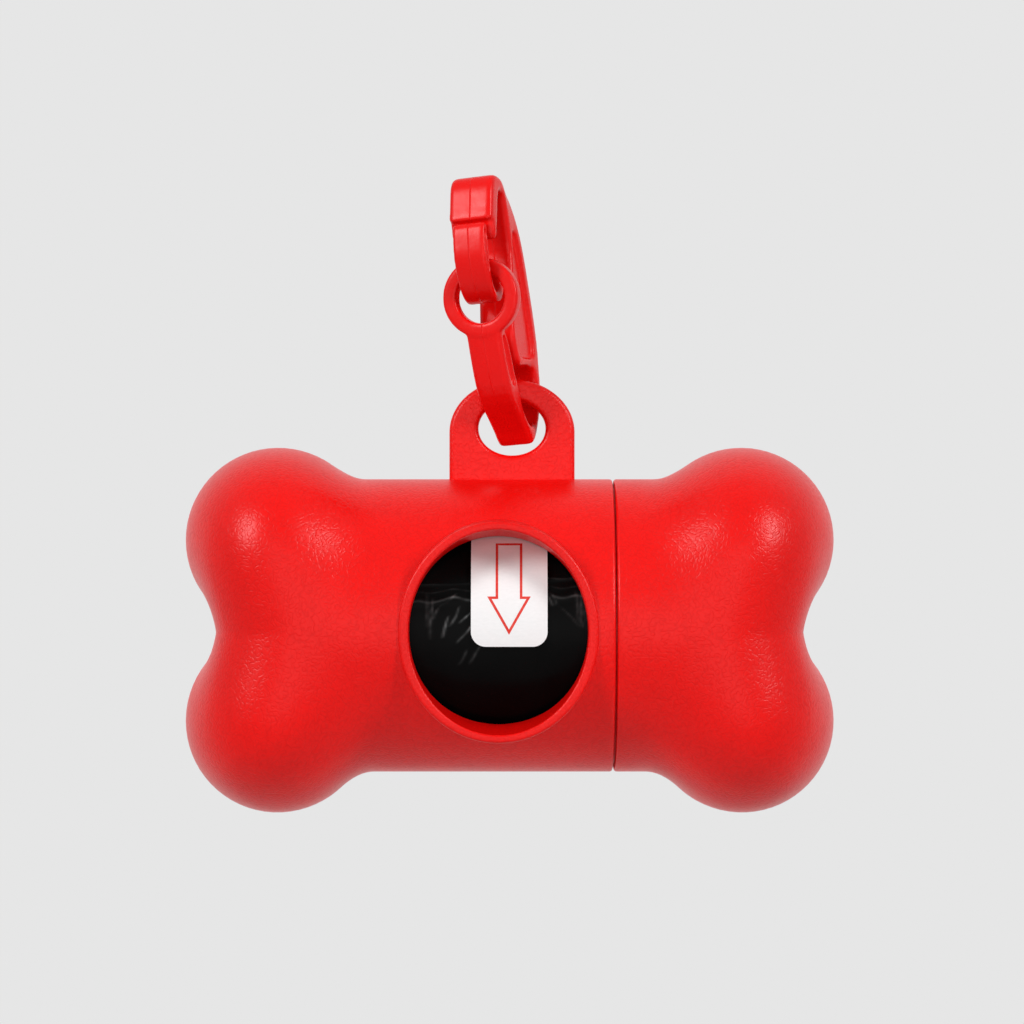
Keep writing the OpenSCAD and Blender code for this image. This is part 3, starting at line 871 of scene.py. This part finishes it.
def math_node(material, operation, first, second=0.0):
    """The result of one sum; each side is an output or a number."""
    node = add_node(material, "ShaderNodeMath", operation=operation)
    for socket, value in zip(node.inputs, (first, second)):
        feed(material, socket, value)
    return node.outputs["Value"]


def weighted(material, base, extra, weight):
    """One height plus a share of another."""
    return math_node(material, "ADD", base, math_node(material, "MULTIPLY", extra, weight))


def distance_from(material, value, middle):
    """How far a value is from a middle one."""
    return math_node(material, "ABSOLUTE", math_node(material, "SUBTRACT", value, middle))


def paint(material, shader, colour, roughness=None):
    """Give the shader its colour, and its roughness where that changes from place to place."""
    link(material, colour, shader.inputs["Base Color"])
    if roughness is not None:
        link(material, roughness, shader.inputs["Roughness"])


def bump(material, shader, height, distance_mm, strength=1.0):
    """Let a height shade the surface as if it stood up; a height of 1 is the distance."""
    node = add_node(material, "ShaderNodeBump", Strength=strength, Distance=distance_mm * MM)
    link(material, height, node.inputs["Height"])
    link(material, node.outputs["Normal"], shader.inputs["Normal"])


# %% [markdown]
# ## Red plastic of the bone
#
# The bone is a satin red plastic, moulded in a tool with a fine leather grain. Its
# wrinkles run like the ridges of a fingerprint. Where a soft noise crosses its middle
# value it draws such winding lines, so the distance from that value makes the wrinkles.
# A bump this fine must stay very low, or it scatters the highlights away. Painted shade darkens
# the colour along the wrinkles.

# %% Bone plastic
BROAD_SHARE = 0.6
GRAIN_TOP = 1 + BROAD_SHARE


def winding_lines(material, place, scale, width):
    """0 on the winding lines where a noise is at its middle, 1 away from them."""
    field = noise_field(material, place, scale, 0)
    return ranged(material, distance_from(material, field, 0.5), 0.0, width)


shell, shader = new_material("red_grained_plastic", IOR=1.46, Specular_IOR_Level=0.28)
place = object_place(shell)
drift = noise_field(shell, place, 70, 3)
fine = winding_lines(shell, place, 1750, 0.11)
broad = winding_lines(shell, object_place(shell, shift=(0.02, 0.01, 0.03)), 1150, 0.1)
grain = weighted(shell, fine, broad, BROAD_SHARE)
# Painted shade: the colour darkens along the wrinkle lines, where the grain sinks, over a slow
# random change of tone.
tone_and_wrinkle_shade = math_node(
    shell,
    "ADD",
    ranged(shell, drift, 0.3, 0.7, 0, 0.45),
    ranged(shell, grain, 0.0, GRAIN_TOP, 0.55, 0.0),
)
colour = blended(shell, tone_and_wrinkle_shade, (0.89, 0.003, 0.0016), (0.7, 0.002, 0.0012))
paint(shell, shader, colour, ranged(shell, grain, 0.0, GRAIN_TOP, 0.37, 0.3))
bump(shell, shader, grain, 0.015)
print("bone plastic with winding grain")

# %% [markdown]
# ## Red plastic of the clip
#
# The clip comes from a smoother mould, so it shines more. Down the middle of its faces
# runs the line where the two halves of the mould met. It is a fine ridge in the plane
# that halves the clip's width, so the distance from that plane makes its bump.

# %% Clip plastic
PARTING_HALF_W = 0.12

clip_axis = Vector(joints["gate_hinge"]["axis"]).normalized()
clip_pivot = Vector(joints["holder_swing"]["pos_m"])
middle_plane = clip_axis.dot(clip_pivot)
clip_red, shader = new_material("red_smooth_plastic", IOR=1.46, Specular_IOR_Level=0.25)
place = object_place(clip_red)
drift = noise_field(clip_red, place, 110, 3)
waves = noise_field(clip_red, place, 330, 3)
fine = noise_field(clip_red, place, 1500, 1)
dot = add_node(clip_red, "ShaderNodeVectorMath", operation="DOT_PRODUCT")
link(clip_red, place, dot.inputs[0])
dot.inputs[1].default_value = clip_axis
off_middle = distance_from(clip_red, dot.outputs["Value"], middle_plane)
line = ranged(clip_red, off_middle, 0.0, PARTING_HALF_W * MM, 1.0, 0.0)
height = weighted(clip_red, weighted(clip_red, line, waves, 1.6), fine, 0.25)
share = ranged(clip_red, drift, 0.3, 0.7)
colour = blended(clip_red, share, (0.87, 0.005, 0.004), (0.79, 0.0035, 0.003))
paint(clip_red, shader, colour, ranged(clip_red, waves, 0.35, 0.65, 0.23, 0.32))
bump(clip_red, shader, height, 0.05, 0.7)
print("clip plastic with a parting line")

# %% [markdown]
# ## Film, paper, ink and card
#
# The film is black and glossy. Along its creases a pale grey is painted into its colour,
# a painted highlight for the light that comes back in thin streaks there. The paper is
# plain and slightly fibrous. The ink takes the paper's dull finish, and the card tube
# shows the spiral seams it was wound with.

# %% Film
film, shader = new_material("black_film", IOR=1.5, Specular_IOR_Level=0.04)
streaks = noise_field(film, object_place(film, scale=(2.2, 1, 1)), 420, 2, 0.6)
soft = noise_field(film, object_place(film), 130, 2)
black = blended(film, soft, (0.0012, 0.0012, 0.0012), (0.003, 0.003, 0.003))
# Painted highlight: where the film is creased, its colour turns pale grey.
crease_highlight = add_node(film, "ShaderNodeAttribute", attribute_name="crease_highlight")
colour = blended(film, crease_highlight.outputs["Fac"], black, (0.14, 0.144, 0.144))
paint(film, shader, colour, ranged(film, soft, 0.3, 0.7, 0.24, 0.4))
bump(film, shader, streaks, 0.03, 0.4)
print("film with pale creases")

# %% Paper, ink and card
paper, shader = new_material("white_paper", Roughness=0.85, Specular_IOR_Level=0.2)
fibres = noise_field(paper, object_place(paper, scale=(1, 1, 2.5)), 1700, 4, 0.6)
share = ranged(paper, fibres, 0.3, 0.7)
paint(paper, shader, blended(paper, share, (0.91, 0.91, 0.91), (0.87, 0.87, 0.87)))
bump(paper, shader, fibres, 0.02, 0.4)

ink, shader = new_material("red_ink", Roughness=0.6, Specular_IOR_Level=0.3)
share = ranged(ink, noise_field(ink, object_place(ink), 2600, 3), 0.35, 0.65)
paint(ink, shader, blended(ink, share, (0.7, 0.03, 0.02), (0.78, 0.07, 0.05)))

card, shader = new_material("brown_card", Roughness=0.8, Specular_IOR_Level=0.2)
fibres = noise_field(card, object_place(card, scale=(0.4, 1, 1)), 900, 5, 0.6)
spiral = add_node(card, "ShaderNodeTexWave", Scale=11, Distortion=0.6, bands_direction="DIAGONAL")
link(card, object_place(card), spiral.inputs["Vector"])
seam = ranged(card, spiral.outputs["Fac"], 0.0, 0.06, 1.0, 0.0)
mixed = weighted(card, math_node(card, "MULTIPLY", fibres, 0.8), seam, 0.5)
paint(card, shader, blended(card, mixed, (0.46, 0.32, 0.19), (0.27, 0.18, 0.1)))
bump(card, shader, mixed, 0.06, 0.5)
print("paper, ink and card")

# %% [markdown]
# ## Finishing the pieces
#
# Each piece gets its material and rides on the body that carries it, and the solids that
# it stands for are hidden.

# %% Dress and attach
PIECES = [
    (holder, shell, "holder", "shell", ["holder"]),
    (thread, shell, "holder", "shell", []),
    (cap, shell, "cap", "shell", ["cap"]),
    (hook, clip_red, "clip", "clip", ["hook"]),
    (gate, clip_red, "gate", "clip", ["gate"]),
    (roll, film, "roll", "film", ["bag_roll"]),
    (core, card, "roll", "cardboard", ["roll_core"]),
    (bag, film, "roll", "film", ["leading_bag"]),
    (band, paper, "roll", "paper", ["paper_band"]),
    (arrow, ink, "roll", "paper", []),
]
for piece, material, body, slot, stands_for in PIECES:
    piece.data.materials.clear()
    piece.data.materials.append(material)
    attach(piece, body)
    if stands_for:
        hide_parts(*stands_for)
    triangles = sum(len(face.vertices) - 2 for face in piece.data.polygons)
    print(f"{piece.name}: {triangles} triangles on {body}")

# %% [markdown]
# ## Floor
#
# The bone hangs, so the floor lies a hand's breadth below it, out of the photograph's
# view. It is a round pale plate.

# %% Floor
FLOOR_Z = -91.0
FLOOR_R = 85.0

bpy.ops.object.select_all(action="DESELECT")
bpy.ops.mesh.primitive_circle_add(
    vertices=128, radius=FLOOR_R * MM, fill_type="NGON", location=(BONE_X * MM, 0, FLOOR_Z * MM)
)
floor = bpy.context.object
floor.name = "floor"
floor_paint, shader = new_material("pale_floor", Roughness=0.9)
mottle = noise_field(floor_paint, object_place(floor_paint), 30, 2)
pale_tone = blended(floor_paint, mottle, (0.69, 0.69, 0.69), (0.72, 0.72, 0.72))
paint(floor_paint, shader, pale_tone)
floor.data.materials.append(floor_paint)
print(f"floor at z {FLOOR_Z} mm")

# %% [markdown]
# ## Background and fill light
#
# The photograph stands before a plain light grey. The world shows that grey to the camera
# and to everything that mirrors or lets light through, so the red plastic and the black
# film reflect it too. All other rays meet a dimmer grey, which is the soft fill light.

# %% World
BACKGROUND = 0.791
FILL = 0.28

world = bpy.data.worlds.new("studio")
bpy.context.scene.world = world
world.use_nodes = True
world.node_tree.nodes.clear()
lit = add_node(world, "ShaderNodeBackground", Color=(FILL, FILL, FILL, 1))
seen = add_node(world, "ShaderNodeBackground", Color=(BACKGROUND, BACKGROUND, BACKGROUND, 1))
path = add_node(world, "ShaderNodeLightPath")
shows = path.outputs["Is Camera Ray"]
for ray in ("Is Glossy Ray", "Is Transmission Ray"):
    shows = math_node(world, "MAXIMUM", shows, path.outputs[ray])
mix = add_node(world, "ShaderNodeMixShader")
link(world, shows, mix.inputs["Fac"])
link(world, lit.outputs["Background"], mix.inputs[1])
link(world, seen.outputs["Background"], mix.inputs[2])
output = add_node(world, "ShaderNodeOutputWorld")
link(world, mix.outputs["Shader"], output.inputs["Surface"])
print(f"background {BACKGROUND}, fill {FILL}")

# %% [markdown]
# ## Lamps
#
# Each lobe carries two soft, tall highlights, one towards each side, and the band of
# light on the barrel lies well above its middle. That is what two tall soft boxes leave,
# at the left and the right in front and raised by a little under thirty degrees. A wide
# weak lamp beside the camera reaches into the window and lights the paper up to its edge.
# Another one keeps the back from going dark. Glossy rays don't meet that one, because it
# would draw a bright line along the bone's upper edge.

# %% Lamps
LAMP_DISTANCE = 700.0


def soft_lamp(name, azimuth, elevation, size, power):
    """A soft box that looks at the bone; the azimuth counts from the front."""
    a, e = math.radians(azimuth), math.radians(elevation)
    way = Vector((math.sin(a) * math.cos(e), -math.cos(a) * math.cos(e), math.sin(e)))
    target = Vector((0, 0, BONE_Z * MM))
    bpy.ops.object.light_add(type="AREA", location=target + way * LAMP_DISTANCE * MM)
    lamp = bpy.context.object
    lamp.name = name
    lamp.rotation_euler = way.to_track_quat("Z", "Y").to_euler()
    lamp.data.shape = "RECTANGLE"
    lamp.data.size, lamp.data.size_y = size[0] * MM, size[1] * MM
    lamp.data.energy = power
    print(f"{name}: {power} W at azimuth {azimuth}, elevation {elevation}")
    return lamp


soft_lamp("lamp_left", -50, 27, (170, 300), 2.5)
soft_lamp("lamp_right", 50, 27, (170, 300), 2.5)
soft_lamp("lamp_front", 0, 2, (500, 400), 0.65)
soft_lamp("lamp_back", 180, 20, (500, 400), 1.2).visible_glossy = False

# %% [markdown]
#
# Standard shows colours as they are written.

# %% Finish
bpy.context.scene.view_settings.view_transform = "Standard"
